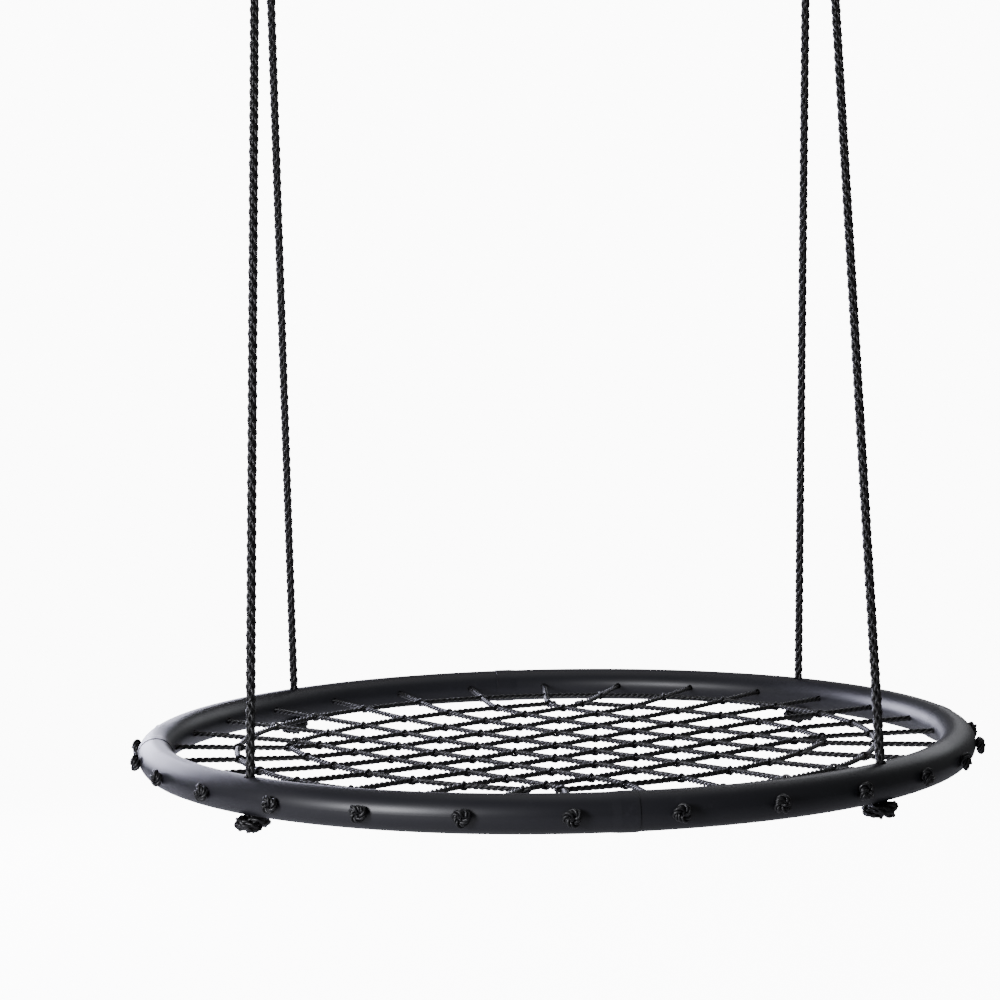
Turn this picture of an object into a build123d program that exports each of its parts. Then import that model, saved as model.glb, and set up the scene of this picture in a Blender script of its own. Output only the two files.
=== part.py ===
"""Saucer nest swing: a steel hoop in plastic sleeves, a rope net tied through it, and four ropes
that run up to two steel rings. Millimetres. +Z is up, +X is the swing's right, -Y is its front.
The origin is midway between the two steel rings, at the height where a hook bears in them."""
import os
from math import atan2, cos, degrees, hypot, pi, radians, sin, sqrt, tan

from build123d import *

# ---- Hoop -----------------------------------------------------------------
hoop_od = 1000.0        # over the sleeves
tube_d = 34.0           # bent steel tube inside them
tube_wall = 2.0
sleeve_wall = 3.7
sleeve_gap = 0.3        # sleeve bore to tube
tube_end_gap = 0.4      # between the two half hoops

sleeve_r = tube_d / 2 + sleeve_gap + sleeve_wall
hoop_r = hoop_od / 2 - sleeve_r
rim_in = hoop_r - sleeve_r          # inner face of the hoop, at mid height

# ---- Sleeve ends: each one is belled a little over the necked end of the next ----
neck_step = 0.8         # neck below the sleeve's surface
bell_rise = 0.7         # bell above it
bell_gap = 0.1
bell_lap = 14.0         # bell over the neighbour's neck
bell_root = 14.0        # bell on its own sleeve
bell_taper = 9.0
bell_edge = 0.4         # chamfer at the bell's mouth
end_gap = 0.5           # neighbour's end to the bottom of the bell
shoulder_gap = 0.3      # bell's mouth to the neighbour's shoulder
neck_r = sleeve_r - neck_step
bell_r = sleeve_r + bell_rise

# ---- Tube joints ------------------------------------------------------------
joiner_len = 84.0
joiner_wall = 2.0
joiner_gap = 0.1
pin_d = 5.0
pin_bore_d = 2.6
pin_gap = 0.1
pin_from_joint = 24.0

# ---- Net ----------------------------------------------------------------------
net_d = 6.0
net_holes = 28          # a quarter of them to each end of each set of ropes
net_hole_gap = 0.9
tail_len = 168.0        # rim to the middle of an edge rope
edge_bow = 47.0         # how much nearer the centre an edge rope's ends are
edge_past = 12.0        # end of an edge rope beyond the tail it is tucked into
edge_spread = 1.03
border_in = 73.0        # rim to the border rope
row_share = 4.3         # rows from the centre to an edge rope
net_sag = 8.0
net_twist = 4.0         # degrees, at the centre
weave_gap = 0.15
bend_r = 60.0           # largest bend of a net rope at a crossing
knot_d = 19.5
knot_turn_d = 8.0
knot_core_d = 12.0
knot_gap = 0.4

ropes_each_way = net_holes // 4
pitch = 360.0 / net_holes
edge_in = rim_in - tail_len
row = edge_in / row_share
border_r = rim_in - border_in
lift = net_d / 2 + weave_gap        # one set of ropes lies this much over the other's middle
half_set = ropes_each_way // 2
edge = half_set + 1

# ---- Hanging ropes --------------------------------------------------------------
rope_d = 10.0
rope_hole_gap = 1.6
rope_holes = 4
hang_height = 1380.0    # hoop centre plane to the centre of the steel rings
knot_below_w = 36.0
knot_below_h = 22.5
flex_gap = 0.4          # between the two legs of an eye, and where a rope bends below it
hole_flex_gap = 1.0     # between the parts of a rope that bends as it leaves its hole

rope_r = rope_d / 2
hole_x = hoop_r * cos(radians(180.0 / rope_holes))
hole_y = hoop_r * sin(radians(180.0 / rope_holes))
ring_x = hole_x - 13.7  # the steel rings are a little closer together than the holes

# ---- Steel rings and the eyes on them ---------------------------------------------
ring_in_d = 60.0
wire_d = 10.0
eye_gap = 0.7           # eye to wire, all round
eye_len = 38.0          # wire to the foot of the eye's legs
eye_knot_d = 30.0       # knot that closes the eye
eye_knot_h = 20.0
eye_bury = 3.0          # knot over the legs
eye_knot_len = 25.0     # foot of the legs to where the rope bends

wire_r = wire_d / 2
ring_r = ring_in_d / 2 + wire_r
ring_z = -ring_in_d / 2             # ring centre, below the point where a hook bears
seat_z = ring_z - hang_height       # hoop centre plane
flex_low_z = seat_z + sleeve_r      # where a rope bends as it leaves its hole


def polar(radius, angle, z=0.0):
    return Vector(radius * cos(radians(angle)), radius * sin(radians(angle)), z)


def hoop_bar(radius, start, end):
    """A round bar bent along the hoop, from one angle to another."""
    disc = Plane.XZ * Pos(hoop_r, 0) * Circle(radius)
    return Rot(0, 0, start) * revolve(disc, Axis.Z, end - start)


def along_hoop(length):
    return degrees(length / hoop_r)


def net_hole_cutters(start, end):
    """Radial holes through both walls, at every net rope between two angles."""
    bore = Cylinder(net_d / 2 + net_hole_gap, 4 * sleeve_r, rotation=(0, 90, 0))
    angles = [k * pitch for k in range(2 * net_holes)]
    return [Rot(0, 0, a) * Pos(hoop_r, 0, 0) * bore for a in angles if start < a < end]


def rope_hole_cutters(start, end):
    """Upright holes for the hanging ropes, between two angles."""
    bore = Cylinder(rope_r + rope_hole_gap, 4 * sleeve_r)
    angles = [(k + 0.5) * 360.0 / rope_holes for k in range(2 * rope_holes)]
    return [Rot(0, 0, a) * Pos(hoop_r, 0, 0) * bore for a in angles if start < a < end]


def drill(body, start, end):
    for cutter in net_hole_cutters(start, end) + rope_hole_cutters(start, end):
        body -= cutter
    return body


# ---- Sleeves ---------------------------------------------------------------------
def end_disc(body, which):
    """Flat face at the start (0) or the end (-1) of a bar bent along the hoop, and its rim."""
    discs = body.faces().filter_by(GeomType.PLANE)
    disc = discs.sort_by(lambda f: atan2(f.center().Y, f.center().X) % (2 * pi))[which]
    return disc, [e for e in body.edges() if e in disc.edges()]


def bell(end):
    """Wider mouth at the far end of a sleeve, with a long taper behind it."""
    root = bell_root + bell_lap
    body = hoop_bar(bell_r, 5.0, 5.0 + along_hoop(root))
    mouth, rim = end_disc(body, -1)
    body = chamfer(rim, bell_edge)
    back, rim = end_disc(body, 0)
    body = chamfer(rim, bell_rise - 0.05, bell_taper, reference=back)
    return Rot(0, 0, end - along_hoop(bell_root) - 5.0) * body


def sleeve(start, end):
    """One length of sleeve: a neck at its start, a bell over the next sleeve's neck at its end."""
    lap = along_hoop(bell_lap)
    shoulder = start + lap + along_hoop(shoulder_gap)
    body = hoop_bar(neck_r, start + along_hoop(end_gap), end) + hoop_bar(sleeve_r, shoulder, end)
    body += bell(end)
    body -= hoop_bar(tube_d / 2 + sleeve_gap, start - 1, end + 1)
    body -= hoop_bar(neck_r + bell_gap, end, end + 2 * lap)
    return drill(body, start, end)


# Each seam is midway between two net holes: after hole 0, 7, 14 and 21.
seam_after = {"back_right": 0, "back_left": 7, "front_left": 14, "front_right": 21}


def sleeves():
    starts = {name: (hole + 0.5) * pitch for name, hole in seam_after.items()}
    return {f"sleeve_{name}": sleeve(a, a + 90.0) for name, a in starts.items()}


# ---- Steel hoop --------------------------------------------------------------------
joint_angles = {"back": (seam_after["back_left"] + 0.5) * pitch,
                "front": (seam_after["front_right"] + 0.5) * pitch}


def pin_places():
    step = along_hoop(pin_from_joint)
    return [a + side * step for a in joint_angles.values() for side in (-1, 1)]


def pin_holes(body):
    for a in pin_places():
        hole = Cylinder(pin_d / 2 + pin_gap, 2 * tube_d)
        body -= Rot(0, 0, a) * Pos(hoop_r, 0, 0) * hole
    return body


def half_hoop(start, end):
    gap = along_hoop(tube_end_gap / 2)
    body = hoop_bar(tube_d / 2, start + gap, end - gap)
    body -= hoop_bar(tube_d / 2 - tube_wall, start - 1, end + 1)
    return pin_holes(drill(body, start, end))


def joiner(angle):
    half = along_hoop(joiner_len / 2)
    outer_r = tube_d / 2 - tube_wall - joiner_gap
    body = hoop_bar(outer_r, angle - half, angle + half)
    body -= hoop_bar(outer_r - joiner_wall, angle - half - 1, angle + half + 1)
    return pin_holes(body)


def pins():
    """Roll pins, flush with the tube so that the sleeves pass over them."""
    pin = Cylinder(pin_d / 2, 0.97 * tube_d) - Cylinder(pin_bore_d / 2, tube_d)
    return Compound(children=[Rot(0, 0, a) * Pos(hoop_r, 0, 0) * pin for a in pin_places()])


# ---- Net --------------------------------------------------------------------------
def net_level(radius):
    """Height of the net's middle surface at a distance from the centre."""
    return -net_sag * (1 - min(1.0, radius / rim_in) ** 2)


def crossing(i, j):
    """Plan position where rope i of set A meets rope j of set B."""
    across, along = row * i, -row * j
    if abs(j) == edge:
        reach = edge_in - edge_bow * (i / half_set) ** 2
        across, along = across * edge_spread, -reach * j / edge
    if abs(i) == edge:
        reach = edge_in - edge_bow * (j / half_set) ** 2
        across, along = reach * i / edge, along * edge_spread
    radius = hypot(across, along)
    turn = net_twist * (1 - (radius / rim_in) ** 2)
    return polar(radius, half_set * pitch + turn + degrees(atan2(across, along)))


def tail(hole, inner):
    """From the net's last crossing to the hole: where it meets the border, then the rim."""
    end = polar(rim_in - net_d, hole * pitch)
    step = end - inner
    share = 0.0
    while (inner + step * share).length < border_r:
        share += 0.002
    border = inner + step * share
    outside = polar(hoop_r + sleeve_r + knot_gap + knot_turn_d / 2, hole * pitch)
    return [border + Vector(0, 0, net_level(border_r)), end, outside]


def rope_points(rope, in_a):
    """Route of a rope that goes right across the net, from one knot to the other."""
    side = lift if in_a else -lift
    if in_a:
        plan = [crossing(rope, j) for j in range(-edge, edge + 1)]
        holes = (half_set + rope, half_set + net_holes // 2 - rope)
    else:
        plan = [crossing(i, rope) for i in range(edge, -edge - 1, -1)]
        holes = (half_set + ropes_each_way + rope, half_set + 3 * ropes_each_way - rope)
    middle = [p + Vector(0, 0, net_level(p.length) + side) for p in plan]
    return tail(holes[0], plan[0])[::-1] + middle + tail(holes[1], plan[-1])


def edge_points(rope, in_a):
    """Route of an edge rope, tucked into the outermost tails at both ends."""
    side = lift if in_a else -lift
    steps = range(-half_set, half_set + 1)
    plan = [crossing(rope, k) if in_a else crossing(k, rope) for k in steps]
    points = [p + Vector(0, 0, net_level(p.length) + side) for p in plan]
    first = points[0] + (points[0] - points[1]).normalized() * edge_past
    last = points[-1] + (points[-1] - points[-2]).normalized() * edge_past
    return [first] + points[1:-1] + [last]


def bend_limits(points):
    """Corners of a route with the bend that each has room for. Straight-through points drop out."""
    kept, radii = [points[0]], []
    for here, after in zip(points[1:-1], points[2:]):
        before = kept[-1]
        turn = (here - before).get_angle(after - here)
        if turn < 0.15:
            continue
        room = 0.4 * min((here - before).length, (after - here).length)
        kept.append(here)
        radii.append(min(bend_r, room / tan(radians(turn / 2))))
    return kept + [points[-1]], radii


tightest = []           # smallest bend of each net rope
off_volume = []         # how far each one's volume is from its section times its length


def rope_tube(points, radius):
    corners, radii = bend_limits(points)
    path = FilletPolyline(*corners, radius=radii) if radii else Line(*corners)
    section = Plane(origin=path @ 0, z_dir=path % 0) * Circle(radius)
    tube = sweep(section, path=path)
    tightest.append(min(radii, default=bend_r))
    off_volume.append(abs(tube.volume / (pi * radius ** 2 * path.length) - 1))
    return tube


def stopper_knot(hole):
    """Knot drawn up against the sleeve: a round turn, and the rope's end over it."""
    out = polar(1, hole * pitch)
    face = polar(hoop_r + sleeve_r + knot_gap, hole * pitch)
    seat = Plane(origin=face, x_dir=Vector(0, 0, 1), z_dir=out)
    turn = seat * Pos(0, 0, knot_turn_d / 2) * Torus((knot_d - knot_turn_d) / 2, knot_turn_d / 2)
    core = seat * Pos(0, 0, knot_turn_d - 1) * Sphere(knot_core_d / 2)
    return turn + core


def net_ropes():
    ropes = {}
    for n, k in enumerate(range(-half_set, half_set + 1), start=1):
        body = rope_tube(rope_points(k, True), net_d / 2)
        knots = [stopper_knot(half_set + k), stopper_knot(half_set + net_holes // 2 - k)]
        ropes[f"net_rope_a{n}"] = body + knots
        body = rope_tube(rope_points(k, False), net_d / 2)
        first = half_set + ropes_each_way + k
        knots = [stopper_knot(first), stopper_knot(half_set + 3 * ropes_each_way - k)]
        ropes[f"net_rope_b{n}"] = body + knots
    return ropes


def edge_ropes():
    places = {"back_left": (edge, True), "front_right": (-edge, True),
              "back_right": (-edge, False), "front_left": (edge, False)}
    return {f"net_edge_{name}": rope_tube(edge_points(*at), net_d / 2)
            for name, at in places.items()}


def border_rope():
    """Closed ring of rope under the tails."""
    level = net_level(border_r) - 2 * lift - weave_gap
    return Pos(0, 0, level) * Torus(border_r, net_d / 2)


# ---- Hanging ropes, in the frame of the whole swing ------------------------------
corners = {"front_left": (-1, -1), "front_right": (1, -1),
           "back_left": (-1, 1), "back_right": (1, 1)}


def rope_line(side, end):
    """Where a rope leaves the hoop, the middle of the wire that it hangs from, and down the rope."""
    low = Vector(side * hole_x, end * hole_y, flex_low_z)
    centre = Vector(side * ring_x, 0, ring_z)
    wire = centre + Vector(0, low.Y, low.Z - ring_z).normalized() * ring_r
    return low, wire, (low - wire).normalized()


def hanging_rope(side, end):
    """The stretch that swings: straight from the eye to the hoop, with round ends."""
    low, wire, down = rope_line(side, end)
    top = wire + down * (eye_len + eye_knot_len)
    length = (top - low).length
    shank = Cylinder(rope_r, length, align=(Align.CENTER, Align.CENTER, Align.MIN))
    shank += Sphere(rope_r) + Pos(0, 0, length) * Sphere(rope_r)
    return Plane(origin=low, z_dir=top - low) * shank


def hoop_knot(side, end):
    """The rope inside the hoop, and the knot that the hoop sits on."""
    turn_r = 0.2 * knot_below_w
    top = flex_low_z - rope_r - hole_flex_gap
    under = seat_z - sleeve_r - knot_gap
    at = Pos(side * hole_x, end * hole_y, 0)
    shank = at * Pos(0, 0, under - turn_r) * Cylinder(
        rope_r, top - under + turn_r, align=(Align.CENTER, Align.CENTER, Align.MIN))
    turn = at * Pos(0, 0, under - turn_r) * Torus(knot_below_w / 2 - turn_r, turn_r)
    core_r = 0.34 * knot_below_h
    core = at * Pos(0, 0, under - knot_below_h + knot_gap + core_r) * Sphere(core_r)
    return shank + turn + core


def top_eye(side, end):
    """Eye round the ring's wire, closed by a knot. It hangs square to the wire."""
    low, wire, down = rope_line(side, end)
    across = (Vector(1, 0, 0) - down * down.X).normalized()
    place = Plane(origin=wire, x_dir=across, z_dir=down)
    bend = wire_r + eye_gap + rope_r
    foot = rope_r + flex_gap / 2
    leg = sqrt(foot ** 2 + eye_len ** 2 - bend ** 2)
    wrap = degrees(atan2(eye_len, foot) - atan2(leg, bend))
    over = CenterArc((0, 0), bend, -wrap, 180 + 2 * wrap)
    route = Wire([Line((foot, -eye_len), over @ 0), over, Line(over @ 1, (-foot, -eye_len))])
    route = Plane(origin=wire, x_dir=across, z_dir=across.cross(-down)) * route
    loop = sweep(Plane(origin=route @ 0, z_dir=route % 0) * Circle(rope_r), path=route)
    align = (Align.CENTER, Align.CENTER, Align.MIN)
    knot = Cylinder(eye_knot_d / 2, eye_knot_h, align=align)
    knot = fillet(knot.edges().filter_by(GeomType.CIRCLE), rope_r)
    neck = Cylinder(rope_r, eye_knot_len - rope_r - flex_gap, align=align)
    return loop + place * Pos(0, 0, eye_len - eye_bury) * knot + place * Pos(0, 0, eye_len) * neck


def hang_ring(side):
    return Pos(side * ring_x, 0, ring_z) * Rot(0, 90, 0) * Torus(ring_r, wire_r)


# ---- Write every piece -----------------------------------------------------------
def main():
    on_hoop = {**sleeves(),
               "frame_tube_left": half_hoop(joint_angles["back"], joint_angles["front"]),
               "frame_tube_right": half_hoop(joint_angles["front"], joint_angles["back"] + 360),
               "tube_joiner_back": joiner(joint_angles["back"]),
               "tube_joiner_front": joiner(joint_angles["front"]),
               "joiner_pins": pins(), **net_ropes(), **edge_ropes(),
               "net_border_rope": border_rope()}
    nodes = {name: Pos(0, 0, seat_z) * shape for name, shape in on_hoop.items()}
    for name, at in corners.items():
        nodes[f"hang_rope_{name}"] = hanging_rope(*at)
        nodes[f"hoop_knot_{name}"] = hoop_knot(*at)
        nodes[f"top_eye_{name}"] = top_eye(*at)
    nodes["hang_ring_left"] = hang_ring(-1)
    nodes["hang_ring_right"] = hang_ring(1)
    os.makedirs("parts", exist_ok=True)
    for name, shape in nodes.items():
        export_step(shape, f"parts/{name}.step")
    low, wire, down = rope_line(-1, -1)
    top = wire + down * (eye_len + eye_knot_len)
    print(f"{len(nodes)} nodes, hoop plane at {seat_z:.1f}, rings {2 * ring_x:.1f} apart")
    print(f"hanging rope bends at {tuple(round(v, 2) for v in top)} and {tuple(round(v, 2) for v in low)}")
    print(f"net ropes: smallest bend {min(tightest):.1f}, volume off by {100 * max(off_volume):.2f} % at most")


main()
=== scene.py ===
# %% [markdown]
# # Saucer nest swing
# The swing is a round hoop with a rope net in it, hung on four ropes from two steel rings. The
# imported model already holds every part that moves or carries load. This lesson gives it its looks:
# strands in the ropes, real knots, a moulded finish on the plastic and a calm studio around it.

from math import atan2, cos, hypot, pi, radians, sin

import bmesh
import bpy
import numpy as np
from mathutils import Matrix, Vector


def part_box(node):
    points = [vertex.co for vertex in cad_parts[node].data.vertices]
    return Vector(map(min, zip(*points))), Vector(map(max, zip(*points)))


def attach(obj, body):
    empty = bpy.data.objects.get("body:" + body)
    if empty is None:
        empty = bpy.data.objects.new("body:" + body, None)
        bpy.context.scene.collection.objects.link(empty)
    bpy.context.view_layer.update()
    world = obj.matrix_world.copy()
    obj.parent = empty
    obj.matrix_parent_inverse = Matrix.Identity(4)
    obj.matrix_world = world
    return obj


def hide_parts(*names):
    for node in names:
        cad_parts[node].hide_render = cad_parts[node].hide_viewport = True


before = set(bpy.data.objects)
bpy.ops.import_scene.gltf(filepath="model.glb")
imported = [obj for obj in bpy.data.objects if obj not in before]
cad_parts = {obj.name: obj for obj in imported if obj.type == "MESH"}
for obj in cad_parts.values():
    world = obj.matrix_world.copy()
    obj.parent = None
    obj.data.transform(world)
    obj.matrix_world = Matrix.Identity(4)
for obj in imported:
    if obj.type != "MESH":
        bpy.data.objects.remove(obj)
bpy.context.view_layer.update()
print("nodes:", len(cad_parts))

# %% [markdown]
# ## Measures
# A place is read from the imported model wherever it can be, so that nothing drifts from it. The hoop
# lies at the mid height of the steel tube. A rope hole is in line with the knot under it, which
# gives the radius of the hoop, and the front sleeve's face gives the radius of its tube.

# %% Measure the hoop
tube_low, tube_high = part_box("frame_tube_left")
hoop_z = (tube_low.z + tube_high.z) / 2
knot_low, knot_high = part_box("hoop_knot_back_right")
hang_x = (knot_low.x + knot_high.x) / 2
hang_y = (knot_low.y + knot_high.y) / 2
hoop_r = hypot(hang_x, hang_y)
sleeve_r = -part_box("sleeve_front_left")[0].y - hoop_r
rim_in = hoop_r - sleeve_r
ring_low, ring_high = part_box("hang_ring_right")
ring_x = (ring_low.x + ring_high.x) / 2
ring_z = (ring_low.z + ring_high.z) / 2
wire_r = (ring_high.x - ring_low.x) / 2
ring_r = (ring_high.z - ring_low.z) / 2 - wire_r
print(f"hoop {2 * (hoop_r + sleeve_r):.3f} m across, tube {2 * sleeve_r:.4f} m, centre at {hoop_z:.3f} m")
print(f"steel rings of {2 * ring_r:.3f} m in {2 * wire_r:.3f} m wire, at {ring_z:.3f} m")

# %% [markdown]
# ## The camera
# A long lens a few steps back, just above the hoop, keeps the ellipse flat and the ropes almost
# straight up. The camera is turned in four plain moves: round the swing, down to it, then a small
# pan, tilt and roll.

# %% Place the camera
def turned(axis, degrees):
    return Matrix.Rotation(radians(degrees), 4, axis)


camera_distance = 3.067
camera_up = 9.14
camera_round = -1.78

lens = bpy.data.cameras.new("camera")
lens.sensor_width = 36
lens.lens = 90.9
camera = bpy.data.objects.new("camera", lens)
bpy.context.scene.collection.objects.link(camera)
bpy.context.scene.camera = camera
orbit = Matrix.Translation((0, 0, hoop_z)) @ turned("Z", camera_round) @ turned("X", 90 - camera_up)
framing = turned("Y", 1.16) @ turned("X", 5.42) @ turned("Z", -0.95)
camera.matrix_world = orbit @ Matrix.Translation((0, 0, camera_distance)) @ framing
print("camera at", [round(v, 3) for v in camera.matrix_world.translation])

# %% [markdown]
# ## Rope, in three steps
# Every rope here is made the same way. A few points give its route. Blender's own NURBS spline
# turns them into one smooth line. Strands are then laid or plaited round that line, and each strand
# is a bevelled curve turned into a mesh. A laid rope has three strands in a long twist. A plaited
# one has eight, four turning each way, and each passes over and under the ones it meets.

# %% Trace a route
def smooth_line(points, step, closed=False):
    """Evenly spaced points along the smooth line of a route."""
    curve = bpy.data.curves.new("route", "CURVE")
    curve.dimensions = "3D"
    curve.resolution_u = 16
    spline = curve.splines.new("NURBS")
    spline.points.add(len(points) - 1)
    for control, place in zip(spline.points, points):
        control.co = (*place, 1)
    spline.use_cyclic_u = closed
    spline.order_u = 3
    spline.use_endpoint_u = not closed
    holder = bpy.data.objects.new("route", curve)
    traced = bpy.data.meshes.new_from_object(holder)
    line = np.array([v.co for v in traced.vertices])
    bpy.data.objects.remove(holder)
    bpy.data.curves.remove(curve)
    bpy.data.meshes.remove(traced)
    if closed:
        line = np.vstack([line, line[:1]])
    along = distance_along(line)
    even = np.linspace(0, along[-1], max(2, round(along[-1] / step)) + 1)
    line = np.column_stack([np.interp(even, along, line[:, k]) for k in range(3)])
    return line[:-1] if closed else line


def distance_along(line):
    """Distance from the start of a line to each of its points."""
    steps = np.linalg.norm(np.diff(line, axis=0), axis=1)
    return np.concatenate([[0.0], np.cumsum(steps)])


# %% Carry two cross directions along a line
def unit(vectors):
    return vectors / np.linalg.norm(vectors, axis=-1, keepdims=True)


def level_frame(line, closed=False):
    """Sideways and upward directions at each point of a nearly level line."""
    ahead = np.roll(line, -1, axis=0) - np.roll(line, 1, axis=0) if closed else np.gradient(line, axis=0)
    side = unit(np.cross(unit(ahead), (0.0, 0.0, 1.0)))
    return side, np.cross(side, unit(ahead))


def carried_frame(line):
    """Two cross directions carried along a line of any shape without twisting."""
    ahead = unit(np.gradient(line, axis=0))
    start = np.cross(ahead[0], (1.0, 0.0, 0.0))
    if np.linalg.norm(start) < 0.3:
        start = np.cross(ahead[0], (0.0, 1.0, 0.0))
    side = [unit(start)]
    for direction in ahead[1:]:
        side.append(unit(side[-1] - direction * np.dot(side[-1], direction)))
    side = np.array(side)
    return side, np.cross(ahead, side)


# %% Turn strands into a mesh
uv_along = 0                        # which half of the UV pair runs along a bevelled curve


def add_strands(bm, strands, thickness, closed=False):
    """Adds tubes to a bmesh. Their UV map holds metres along the strand and turns round it."""
    curve = bpy.data.curves.new("strands", "CURVE")
    curve.dimensions = "3D"
    curve.bevel_depth = thickness / 2
    curve.bevel_resolution = 2
    curve.use_fill_caps = not closed
    for strand in strands:
        spline = curve.splines.new("POLY")
        spline.points.add(len(strand) - 1)
        spline.points.foreach_set("co", np.column_stack([strand, np.ones(len(strand))]).ravel())
        spline.use_cyclic_u = closed
    holder = bpy.data.objects.new("strands", curve)
    mesh = bpy.data.meshes.new_from_object(holder)
    uv = np.zeros(2 * len(mesh.loops))
    mesh.uv_layers[0].data.foreach_get("uv", uv)
    uv[uv_along::2] *= distance_along(strands[0])[-1]
    mesh.uv_layers[0].data.foreach_set("uv", uv)
    bm.from_mesh(mesh)
    bpy.data.objects.remove(holder)
    bpy.data.curves.remove(curve)
    bpy.data.meshes.remove(mesh)


def finished(bm, name, material, body):
    """Makes a bmesh into a piece that rides on a body of the swing."""
    mesh = bpy.data.meshes.new(name)
    bm.to_mesh(mesh)
    bm.free()
    mesh.shade_smooth()
    mesh.materials.append(material)
    piece = bpy.data.objects.new(name, mesh)
    bpy.context.scene.collection.objects.link(piece)
    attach(piece, body)
    return piece


# %% [markdown]
# ## Laid rope for the net
# The net is 6 mm rope of three strands. Where one rope meets another it is passed through it: the
# strands of the first part, one over and two under, and close again. So that one strand lies on top
# just there, the twist between two meetings is always a whole number of thirds of a turn.

# %% Lay three strands
net_d = 0.006
net_strand_d = 0.0033
net_lay_r = 0.0019
net_third = 0.0080                 # rope length in a third of a turn
net_step = 0.0016
part_up = 0.0041                    # how far parted strands stand from the middle
part_reach = 0.0047


def twist_angles(along, meetings):
    """Twist at each point, with a strand exactly on top at each meeting."""
    stops = [meetings[0]] if len(meetings) else [0.0]
    turns = [pi / 2]
    for here, after in zip(meetings[:-1], meetings[1:]):
        thirds = max(1, round((after - here) / net_third))
        stops.append(after)
        turns.append(turns[-1] + thirds * 2 * pi / 3)
    rate = 2 * pi / 3 / net_third
    angles = np.interp(along, stops, turns)
    angles += np.minimum(along - stops[0], 0) * rate + np.maximum(along - stops[-1], 0) * rate
    return angles, turns


def laid_strands(line, directions, meetings=()):
    """Three strands round a line, parted at each meeting with another rope."""
    side, up = directions
    along = distance_along(line)
    angles, turns = twist_angles(along, list(meetings))
    strands = []
    for third in range(3):
        turn = angles + third * 2 * pi / 3
        sideways = net_lay_r * np.cos(turn)
        upward = net_lay_r * np.sin(turn)
        for place, angle in zip(meetings, turns):
            parted = np.exp(-((along - place) / part_reach) ** 2)
            over = 1 if sin(angle + third * 2 * pi / 3) > 0 else -1
            upward = upward * (1 - parted) + over * part_up * parted
        strands.append(line + side * sideways[:, None] + up * upward[:, None])
    return strands


# %% [markdown]
# ## Plaited rope for the hangers
# The hanging ropes are 10 mm plait. Four strands turn one way and four the other, and the distance
# of each from the middle swells and shrinks four times a turn, which is what takes it over and under.

# %% Plait eight strands
plait_pitch = 0.056
plait_r = 0.0032
plait_weave = 0.0009
plait_strand_d = 0.0037
plait_step = 0.0024


def plaited_strands(line, directions):
    side, up = directions
    turn = 2 * pi * distance_along(line) / plait_pitch
    strands = []
    for way in (1, -1):
        reach = plait_r + way * plait_weave * np.cos(4 * turn)
        for quarter in range(4):
            angle = way * turn + quarter * pi / 2
            offset = side * (reach * np.cos(angle))[:, None] + up * (reach * np.sin(angle))[:, None]
            strands.append(line + offset)
    return strands


# %% [markdown]
# ## A knot
# Each rope ends in an overhand knot drawn up tight. Its path is three lobes wound twice round the
# middle, which is the curve of a trefoil. The rope comes in along the knot's axis, goes round the
# lobes, and leaves a short end on the far side.

# %% Route of an overhand knot
knot_points = 27


def overhand_route(start, axis, rope_d, turn, lead, end, flat=1.0):
    """Points of a knot that begins at a place and stands out along an axis. Flat squashes it."""
    axis = Vector(axis).normalized()
    across = axis.cross(Vector((0.3, 0.2, 1.0))).normalized()
    across = Matrix.Rotation(turn, 3, axis) @ across
    third = axis.cross(across)
    middle, lobe, weave = 0.98 * rope_d / flat, 0.50 * rope_d, 0.46 * rope_d * flat
    centre = Vector(start) + axis * (weave + rope_d / 2)
    points = [Vector(start) - axis * lead, Vector(start) - axis * 0.1 * rope_d]
    first = pi / 3
    for k in range(1, knot_points - 1):
        t = first + 2 * pi * k / (knot_points - 1)
        reach = middle + lobe * cos(3 * t)
        place = across * (reach * cos(2 * t)) + third * (reach * sin(2 * t))
        points.append(centre + place - axis * (weave * sin(3 * t)))
    points.append(centre + axis * (weave + 0.4 * rope_d) + across * 0.15 * rope_d)
    points.append(centre + axis * (weave + 0.4 * rope_d + end) + across * 0.3 * rope_d)
    return points


# %% [markdown]
# ## Finishes
# Two shader groups do the work that more than one finish needs. `fine_wear` gives a grain and soft
# rub marks from the place on the object, for plastic and steel. `strand_fibres` gives hair-thin
# fibres that run along each strand, from the strand's own UV map, for both kinds of rope.

# %% Shader helpers
def new_group(name, inputs, outputs):
    group = bpy.data.node_groups.new(name, "ShaderNodeTree")
    for label, kind, value in inputs:
        socket = group.interface.new_socket(label, in_out="INPUT", socket_type=kind)
        socket.default_value = value
    for label, kind in outputs:
        group.interface.new_socket(label, in_out="OUTPUT", socket_type=kind)
    return group, group.nodes.new("NodeGroupInput"), group.nodes.new("NodeGroupOutput")


def add(tree, kind, settings=None, values=None):
    """Adds a node with its settings and the plain values of its sockets."""
    node = tree.nodes.new(kind)
    for key, value in (settings or {}).items():
        setattr(node, key, value)
    for key, value in (values or {}).items():
        node.inputs[key].default_value = value
    return node


def link(tree, source, target):
    tree.links.new(source, target)


def remap(tree, source, low, high, to_low, to_high):
    node = add(tree, "ShaderNodeMapRange", values={1: low, 2: high, 3: to_low, 4: to_high})
    link(tree, source, node.inputs[0])
    return node.outputs[0]


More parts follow.
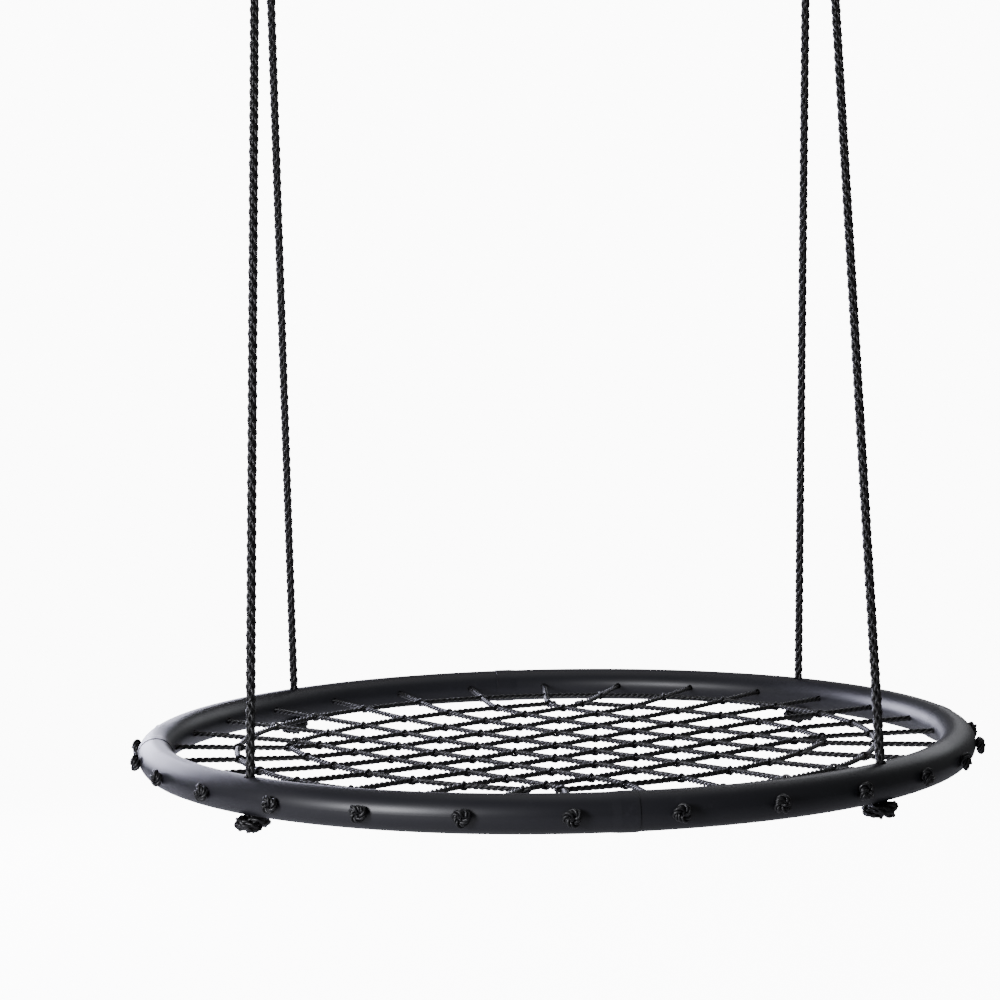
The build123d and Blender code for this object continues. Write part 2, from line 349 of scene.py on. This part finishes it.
# %% Group: fine wear
wear, wear_in, wear_out = new_group(
    "fine_wear",
    [("Grain scale", "NodeSocketFloat", 900.0), ("Rub scale", "NodeSocketFloat", 14.0)],
    [("Grain", "NodeSocketFloat"), ("Swell", "NodeSocketFloat"), ("Rubbed", "NodeSocketFloat")])
place = add(wear, "ShaderNodeTexCoord")
grain = add(wear, "ShaderNodeTexNoise", values={"Detail": 3.0, "Roughness": 0.6})
swell = add(wear, "ShaderNodeTexNoise", values={"Detail": 1.0, "Roughness": 0.4})
rub = add(wear, "ShaderNodeTexNoise", values={"Scale": 60.0, "Detail": 6.0, "Roughness": 0.72})
for noise in (grain, swell, rub):
    link(wear, place.outputs["Object"], noise.inputs["Vector"])
link(wear, wear_in.outputs["Grain scale"], grain.inputs["Scale"])
link(wear, wear_in.outputs["Rub scale"], swell.inputs["Scale"])
streaks = add(wear, "ShaderNodeMath", {"operation": "MULTIPLY"})
link(wear, remap(wear, rub.outputs["Fac"], 0.56, 0.74, 0.0, 1.0), streaks.inputs[0])
link(wear, remap(wear, swell.outputs["Fac"], 0.42, 0.62, 0.0, 1.0), streaks.inputs[1])
link(wear, grain.outputs["Fac"], wear_out.inputs["Grain"])
link(wear, swell.outputs["Fac"], wear_out.inputs["Swell"])
link(wear, streaks.outputs[0], wear_out.inputs["Rubbed"])

# %% Group: strand fibres
fibres, fibres_in, fibres_out = new_group(
    "strand_fibres",
    [("Fibres round", "NodeSocketFloat", 9.0), ("Fibres along", "NodeSocketFloat", 260.0),
     ("Slant", "NodeSocketFloat", 0.35)],
    [("Height", "NodeSocketFloat"), ("Glint", "NodeSocketFloat"), ("Fade", "NodeSocketFloat")])
place = add(fibres, "ShaderNodeTexCoord")
parts = add(fibres, "ShaderNodeSeparateXYZ")
link(fibres, place.outputs["UV"], parts.inputs[0])
along_out, round_out = parts.outputs[uv_along], parts.outputs[1 - uv_along]
lean_in = add(fibres, "ShaderNodeMath", {"operation": "MULTIPLY"}, {1: 100.0})
link(fibres, along_out, lean_in.inputs[0])
lean = add(fibres, "ShaderNodeMath", {"operation": "MULTIPLY_ADD"})
link(fibres, lean_in.outputs[0], lean.inputs[0])
link(fibres, fibres_in.outputs["Slant"], lean.inputs[1])
link(fibres, round_out, lean.inputs[2])
across = add(fibres, "ShaderNodeMath", {"operation": "MULTIPLY"})
link(fibres, lean.outputs[0], across.inputs[0])
link(fibres, fibres_in.outputs["Fibres round"], across.inputs[1])
length = add(fibres, "ShaderNodeMath", {"operation": "MULTIPLY"})
link(fibres, along_out, length.inputs[0])
link(fibres, fibres_in.outputs["Fibres along"], length.inputs[1])
grid = add(fibres, "ShaderNodeCombineXYZ")
link(fibres, across.outputs[0], grid.inputs[0])
link(fibres, length.outputs[0], grid.inputs[1])
hair = add(fibres, "ShaderNodeTexNoise", values={"Scale": 1.6, "Detail": 4.0, "Roughness": 0.65})
fleck = add(fibres, "ShaderNodeTexNoise", values={"Scale": 0.9, "Detail": 2.0, "Roughness": 0.5})
link(fibres, grid.outputs[0], hair.inputs["Vector"])
link(fibres, grid.outputs[0], fleck.inputs["Vector"])
dust = add(fibres, "ShaderNodeTexNoise", values={"Scale": 35.0, "Detail": 4.0, "Roughness": 0.6})
link(fibres, place.outputs["Object"], dust.inputs["Vector"])
link(fibres, hair.outputs["Fac"], fibres_out.inputs["Height"])
link(fibres, remap(fibres, fleck.outputs["Fac"], 0.58, 0.72, 0.0, 1.0), fibres_out.inputs["Glint"])
link(fibres, remap(fibres, dust.outputs["Fac"], 0.45, 0.75, 0.0, 1.0), fibres_out.inputs["Fade"])
print("shader groups:", wear.name, "and", fibres.name)


# %% Make a finish
def new_finish(name, **constants):
    material = bpy.data.materials.new(name)
    material.use_nodes = True
    tree = material.node_tree
    shader = tree.nodes["Principled BSDF"]
    for key, value in constants.items():
        shader.inputs[key.replace("_", " ")].default_value = value
    return material, tree, shader


def mix_colours(tree, mask, first, second):
    node = add(tree, "ShaderNodeMix", {"data_type": "RGBA"})
    node.inputs[6].default_value = (*first, 1)
    node.inputs[7].default_value = (*second, 1)
    link(tree, mask, node.inputs[0])
    return node.outputs[2]


def bump(tree, shader, height, strength, distance, under=None):
    node = add(tree, "ShaderNodeBump", values={"Strength": strength, "Distance": distance})
    link(tree, height, node.inputs["Height"])
    if under is not None:
        link(tree, under, node.inputs["Normal"])
    link(tree, node.outputs[0], shader.inputs["Normal"])
    return node.outputs[0]


def grouped(tree, group, values):
    node = add(tree, "ShaderNodeGroup", {"node_tree": group})
    for key, value in values.items():
        node.inputs[key].default_value = value
    return node


# %% [markdown]
# The hoop's sleeves are charcoal plastic with a satin moulded skin. It has a very fine grain, a
# slow swell where the tube was drawn, and paler rubbed patches where hands and legs pass.

# %% Finish: charcoal plastic
charcoal, tree, shader = new_finish("satin_charcoal_plastic", Specular_IOR_Level=0.5)
marks = grouped(tree, wear, {"Grain scale": 1100.0, "Rub scale": 9.0})
link(tree, mix_colours(tree, marks.outputs["Rubbed"], (0.013, 0.013, 0.017), (0.022, 0.022, 0.028)),
     shader.inputs["Base Color"])
rough = add(tree, "ShaderNodeMath", {"operation": "MULTIPLY_ADD", "use_clamp": True}, {1: 0.12})
link(tree, marks.outputs["Rubbed"], rough.inputs[0])
link(tree, remap(tree, marks.outputs["Swell"], 0.3, 0.7, 0.38, 0.46), rough.inputs[2])
link(tree, rough.outputs[0], shader.inputs["Roughness"])
drawn = bump(tree, shader, marks.outputs["Swell"], 0.5, 0.002)
bump(tree, shader, marks.outputs["Grain"], 0.12, 0.0004, drawn)

# %% [markdown]
# Both ropes are black polypropylene. The fibres are shiny, so a dark base colour with a low
# roughness and lit flecks looks right, and a little grey dust sits in the low places.

# %% Finish: rope
def rope_finish(name, base, dusty, round_count):
    material, tree, shader = new_finish(name, Specular_IOR_Level=0.6)
    hairs = grouped(tree, fibres, {"Fibres round": round_count})
    dust_mask = add(tree, "ShaderNodeMath", {"operation": "MULTIPLY"}, {1: 0.55})
    link(tree, hairs.outputs["Fade"], dust_mask.inputs[0])
    link(tree, mix_colours(tree, dust_mask.outputs[0], base, dusty), shader.inputs["Base Color"])
    link(tree, remap(tree, hairs.outputs["Glint"], 0.0, 1.0, 0.40, 0.18), shader.inputs["Roughness"])
    bump(tree, shader, hairs.outputs["Height"], 0.7, 0.0006)
    return material


net_finish = rope_finish("laid_black_rope", (0.0035, 0.0035, 0.0045), (0.010, 0.010, 0.011), 8.0)
hanger_finish = rope_finish("plaited_black_rope", (0.0035, 0.0035, 0.004), (0.010, 0.010, 0.0105), 10.0)

# %% Finish: zinc-plated steel
steel, tree, shader = new_finish("bright_zinc_steel", Metallic=1.0)
marks = grouped(tree, wear, {"Grain scale": 700.0, "Rub scale": 120.0})
link(tree, mix_colours(tree, marks.outputs["Rubbed"], (0.55, 0.56, 0.58), (0.42, 0.42, 0.43)),
     shader.inputs["Base Color"])
link(tree, remap(tree, marks.outputs["Swell"], 0.3, 0.7, 0.26, 0.40), shader.inputs["Roughness"])
bump(tree, shader, marks.outputs["Grain"], 0.1, 0.0002)
print("finishes:", charcoal.name, net_finish.name, hanger_finish.name, steel.name)

# %% Put finishes on the model's own parts
metal_nodes = ("hang_ring", "frame_tube", "tube_joiner", "joiner_pins")
for name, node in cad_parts.items():
    if name.startswith("sleeve_"):
        node.material_slots[0].material = charcoal
    elif name.startswith(metal_nodes):
        node.material_slots[0].material = steel

# %% [markdown]
# ## The hanging ropes
# Each rope is taut, so its route is one straight run from the hole in the hoop to the knot of the
# eye above.

# %% Places of the hanging ropes
corners = {"front_left": (-1, -1), "front_right": (1, -1), "back_left": (-1, 1), "back_right": (1, 1)}
eye_foot = 0.038                    # wire to the foot of the eye's legs
eye_flex = 0.025                    # foot of the legs to where the rope bends
tuck = 0.006                        # rope beyond the points where it bends
into_hole = 0.0015


def rope_ends(side, end):
    """Where a rope leaves the hoop, the middle of the wire it hangs from, and the way up."""
    low = Vector((side * hang_x, end * hang_y, hoop_z + sleeve_r))
    toward = Vector((0, low.y, low.z - ring_z)).normalized()
    wire = Vector((side * ring_x, 0, ring_z)) + toward * ring_r
    return low, wire, (wire - low).normalized()


# %% Make the hanging ropes
hanging_ropes = {}
for corner, (side, end) in corners.items():
    low, wire, upward = rope_ends(side, end)
    high = wire - upward * (eye_foot + eye_flex)
    run = [low - upward * into_hole, high + upward * tuck]
    line = np.linspace(run[0], run[1], round((run[1] - run[0]).length / plait_step))
    bm = bmesh.new()
    add_strands(bm, plaited_strands(line, carried_frame(line)), plait_strand_d)
    body = "left_ropes" if side < 0 else "right_ropes"
    rope = finished(bm, f"rope_{corner}", hanger_finish, body)
    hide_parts(f"hang_rope_{corner}")
    hanging_ropes[corner] = (rope, line)
print("hanging ropes:", len(hanging_ropes), "of", f"{distance_along(line)[-1]:.3f} m")

# %% [markdown]
# ## The eyes
# At the top each rope goes over the ring's wire and comes back beside itself, and its end is taken
# round the standing part in two turns. The route is written in the eye's own directions: across, up
# the rope, and through the eye.

# %% Make the rope eyes
hitch_r = 0.0104                    # from the rope's middle to the turns that close the eye


def eye_route(wire, across, upward):
    through = across.cross(upward)
    flat = [(0, -0.069), (0, -0.060), (0, -0.050), (0.001, -0.043), (0.0085, -0.030), (0.0118, -0.013),
            (0.0126, 0.003), (0.0095, 0.0112), (0, 0.0131), (-0.0095, 0.0112), (-0.0126, 0.003),
            (-0.0118, -0.013), (-0.0098, -0.027)]
    points = [wire + across * a + upward * b for a, b in flat]
    for k in range(15):
        angle = pi + 2 * pi * k / 8
        height = -0.0375 - 0.0105 * k / 8
        reach = hitch_r if k < 13 else hitch_r * 0.8
        sideways = across * (reach * cos(angle)) + through * (reach * sin(angle))
        points.append(wire + sideways + upward * height)
    points.append(points[-1] + (points[-1] - points[-2]).normalized() * 0.014 - upward * 0.004)
    return points


for corner, (side, end) in corners.items():
    low, wire, upward = rope_ends(side, end)
    across = (Vector((1, 0, 0)) - upward * upward.x).normalized()
    line = smooth_line(eye_route(wire, across, upward), plait_step)
    bm = bmesh.new()
    add_strands(bm, plaited_strands(line, carried_frame(line)), plait_strand_d)
    eye = finished(bm, f"eye_{corner}", hanger_finish, "rope_eyes")
    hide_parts(f"top_eye_{corner}")

# %% Make the knots under the hoop
hoop_knot_d = 0.0100
hoop_knot_flat = 0.86
hoop_knot_step = 0.0016
hoop_knot_end = 0.001
below_top = 0.0065                  # start of this rope, below the top of the sleeve
into_sleeve = 0.0008                # the knot is drawn a little way up into its hole

for number, (corner, (side, end)) in enumerate(corners.items()):
    hole = Vector((side * hang_x, end * hang_y, hoop_z))
    top = hole + Vector((0, 0, sleeve_r - below_top))
    under = hole - Vector((0, 0, sleeve_r - into_sleeve))
    route = overhand_route(under, (0, 0, -1), hoop_knot_d, 0.9 + 1.7 * number,
                           (top - under).length, hoop_knot_end, hoop_knot_flat)
    line = smooth_line(route, hoop_knot_step)
    bm = bmesh.new()
    add_strands(bm, plaited_strands(line, carried_frame(line)), plait_strand_d)
    knot = finished(bm, f"knot_{corner}", hanger_finish, "seat")
    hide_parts(f"hoop_knot_{corner}")

for corner, (rope, line) in hanging_ropes.items():
    side = "left" if corners[corner][0] < 0 else "right"

# %% [markdown]
# ## The net
# Two sets of seven ropes cross over the seat. They run straight in the middle and fan out towards
# the hoop, where each has its own hole. Four shorter ropes run across the ends of the sets, and one
# closed rope joins all the tails. The middle of the net hangs a little below the hoop.

# %% Plan of the net
holes = 28
hole_pitch = 2 * pi / holes
in_set = holes // 4
half_set = in_set // 2
edge = half_set + 1
tail_length = 0.168
edge_in = rim_in - tail_length
edge_bow = 0.047
edge_past = 0.012
edge_spread = 1.03
row = edge_in / 4.3
border_r = rim_in - 0.073
net_sag = 0.008
net_twist = radians(4.0)


def around(radius, angle, height=0.0):
    return Vector((radius * cos(angle), radius * sin(angle), height))


def net_height(radius):
    return hoop_z - net_sag * (1 - min(1.0, radius / rim_in) ** 2)


def crossing(i, j):
    """Where rope i of the first set meets rope j of the second."""
    across, along = row * i, -row * j
    if abs(j) == edge:
        across *= edge_spread
        along = -(edge_in - edge_bow * (i / half_set) ** 2) * j / edge
    if abs(i) == edge:
        along *= edge_spread
        across = (edge_in - edge_bow * (j / half_set) ** 2) * i / edge
    radius = hypot(across, along)
    turn = net_twist * (1 - (radius / rim_in) ** 2)
    return around(radius, half_set * hole_pitch + turn + atan2(across, along), net_height(radius))


def tail(hole, inner):
    """From the border to the hole, and out to the knot."""
    out = around(1, hole * hole_pitch)
    rim = out * (rim_in - net_d) + Vector((0, 0, hoop_z))
    step = rim - inner
    share = 0.0
    while (inner + step * share).xy.length < border_r:
        share += 0.002
    border = inner + step * share
    border.z = net_height(border_r)
    return [border, rim, out * (hoop_r + sleeve_r + 0.001) + Vector((0, 0, hoop_z))]


# %% Routes of the net
def through_route(rope, first_set):
    """A rope that goes right across, with the two holes that it ends in."""
    if first_set:
        plan = [crossing(rope, j) for j in range(-edge, edge + 1)]
        ends = (half_set + rope, half_set + holes // 2 - rope)
    else:
        plan = [crossing(i, rope) for i in range(edge, -edge - 1, -1)]
        ends = (half_set + in_set + rope, half_set + 3 * in_set - rope)
    return tail(ends[0], plan[0])[::-1] + plan + tail(ends[1], plan[-1]), ends


def edge_route(rope, first_set):
    """A rope across the ends of a set. Both its ends are tucked through the outer tails."""
    steps = range(-half_set, half_set + 1)
    plan = [crossing(rope, k) if first_set else crossing(k, rope) for k in steps]
    first = plan[0] + (plan[0] - plan[1]).normalized() * edge_past
    last = plan[-1] + (plan[-1] - plan[-2]).normalized() * edge_past
    return [first] + plan + [last]


set_range = range(-half_set, half_set + 1)
lines = {}
rope_holes = {}
for n, k in enumerate(set_range, start=1):
    for letter, first_set in (("a", True), ("b", False)):
        route, rope_holes[f"rope_{letter}{n}"] = through_route(k, first_set)
        lines[f"rope_{letter}{n}"] = smooth_line(route, net_step)
edge_places = {"back_left": (edge, True), "front_right": (-edge, True),
               "back_right": (-edge, False), "front_left": (edge, False)}
for name, place in edge_places.items():
    lines[f"edge_{name}"] = smooth_line(edge_route(*place), net_step)
ring = [around(border_r, (k + 0.5) * hole_pitch, net_height(border_r)) for k in range(holes)]
border_line = smooth_line(ring, net_step, closed=True)
print("net ropes:", len(lines) + 1, "with", f"{sum(distance_along(v)[-1] for v in lines.values()):.1f} m")


# %% [markdown]
# A rope of the first set opens for every rope that it meets, and every tail opens for the border.
# The two edge ropes of the first set go through the outer ropes of the second at their ends, so
# there it is the second set that opens.

# %% Find the meetings
def meeting(line, other):
    """Distance along a line to where another line crosses it, or None, as seen from above."""
    gaps = np.linalg.norm(line[:, None, :2] - other[None, :, :2], axis=2)
    nearest = np.unravel_index(np.argmin(gaps), gaps.shape)
    return distance_along(line)[nearest[0]] if gaps[nearest] < 2 * net_step else None


def meetings_of(name):
    line = lines[name]
    found = []
    if name.startswith("rope_"):
        inner = len(line) // 2
        found += [meeting(line[:inner], border_line)]
        found += [distance_along(line)[inner] + meeting(line[inner:], border_line)]
    first_set = name.startswith("rope_a") or name in ("edge_back_left", "edge_front_right")
    for other, other_line in lines.items():
        other_first = other.startswith("rope_a") or other in ("edge_back_left", "edge_front_right")
        tucked = other.startswith("edge_") and other_first and name in ("rope_b1", f"rope_b{in_set}")
        holds = name.startswith("edge_") and other in ("rope_b1", f"rope_b{in_set}")
        if (first_set and not other_first and not holds) or tucked:
            found.append(meeting(line, other_line))
    return sorted(place for place in found if place is not None)


# %% Make the net
net_knot_d = 0.0052
net_knot_flat = 0.92
net_knot_step = 0.0013
net_knot_lead = 0.004               # rope inside the hole, before the knot
net_knot_end = 0.0002
knot_face_gap = 0.0003
opened = 0
for name, line in lines.items():
    places = meetings_of(name)
    opened += len(places)
    bm = bmesh.new()
    add_strands(bm, laid_strands(line, level_frame(line), places), net_strand_d)
    for hole in rope_holes.get(name, ()):
        out = around(1, hole * hole_pitch)
        face = out * (hoop_r + sleeve_r + knot_face_gap) + Vector((0, 0, hoop_z))
        route = overhand_route(face, out, net_knot_d, 2.4 * hole, net_knot_lead, net_knot_end,
                               net_knot_flat)
        knot_line = smooth_line(route, net_knot_step)
        add_strands(bm, laid_strands(knot_line, carried_frame(knot_line)), net_strand_d * 0.94)
    piece = finished(bm, f"net_{name}", net_finish, "seat")
    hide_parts(f"net_{name}")
bm = bmesh.new()
add_strands(bm, laid_strands(border_line, level_frame(border_line, True)), net_strand_d, closed=True)
piece = finished(bm, "net_border", net_finish, "seat")
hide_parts("net_border_rope")
print("places where one rope goes through another:", opened)

# %% [markdown]
# ## The studio
# A pale floor some way below the swing, a soft light behind on the left that catches the left end of
# the hoop, one in front that draws a highlight on it, and weaker ones from behind and above. The floor and
# the surround look bright but light the swing only a little, so that it stays dark against them.

# %% Floor
floor_drop = 0.55
seen_strength = 11.0                # brightness that the floor and the surround show the camera
surround_light = 0.13               # light that the surround gives the swing


def mostly_seen(tree, given, target):
    """Sets a strength that is high where it is looked at, and low as a light for other things."""
    path = add(tree, "ShaderNodeLightPath")
    strength = add(tree, "ShaderNodeMath", {"operation": "MULTIPLY_ADD"}, {1: seen_strength, 2: given})
    link(tree, path.outputs["Is Camera Ray"], strength.inputs[0])
    link(tree, strength.outputs[0], target)


bm = bmesh.new()
bmesh.ops.create_grid(bm, x_segments=1, y_segments=1, size=80)
bmesh.ops.translate(bm, vec=(0, 0, hoop_z - floor_drop), verts=bm.verts)
mesh = bpy.data.meshes.new("floor")
bm.to_mesh(mesh)
bm.free()
floor = bpy.data.objects.new("floor", mesh)
bpy.context.scene.collection.objects.link(floor)
pale, tree, shader = new_finish("pale_floor", Base_Color=(0.5, 0.5, 0.5, 1), Roughness=0.9,
                                Specular_IOR_Level=0.1, Emission_Color=(1, 1, 1, 1))
mostly_seen(tree, 0.0, shader.inputs["Emission Strength"])
mesh.materials.append(pale)


# %% Lights
def soft_light(name, at, aim, power, width, height, colour=(1, 1, 1)):
    """A rectangular light that the camera itself doesn't see."""
    lamp = bpy.data.lights.new(name, "AREA")
    lamp.shape = "RECTANGLE"
    lamp.size = width
    lamp.size_y = height
    lamp.energy = power
    lamp.color = colour
    light = bpy.data.objects.new(name, lamp)
    light.location = at
    light.rotation_euler = (Vector(aim) - Vector(at)).to_track_quat("-Z", "Y").to_euler()
    light.visible_camera = False
    bpy.context.scene.collection.objects.link(light)


centre = (0, 0, hoop_z)
left_end = (-hoop_r, 0, hoop_z)
soft_light("front_left", (-1.8, -1.9, hoop_z + 0.6), centre, 66, 0.7, 0.6, (0.94, 0.94, 1.0))
soft_light("back_left", (-1.7, 2.1, hoop_z + 0.6), left_end, 90, 1.5, 1.1, (0.80, 0.80, 1.0))
soft_light("behind", (-0.8, 2.7, hoop_z + 0.5), left_end, 14, 0.8, 0.6, (0.82, 0.82, 1.0))
soft_light("back_right", (1.6, 2.4, hoop_z + 1.5), centre, 15, 2.0, 1.2, (0.92, 0.94, 1.0))
soft_light("overhead", (0.3, 0.6, hoop_z + 2.6), centre, 10, 2.5, 2.5, (0.94, 0.95, 1.0))
world = bpy.data.worlds.new("surround")
world.use_nodes = True
background = world.node_tree.nodes["Background"]
background.inputs["Color"].default_value = (1, 1, 1, 1)
mostly_seen(world.node_tree, surround_light, background.inputs["Strength"])
bpy.context.scene.world = world
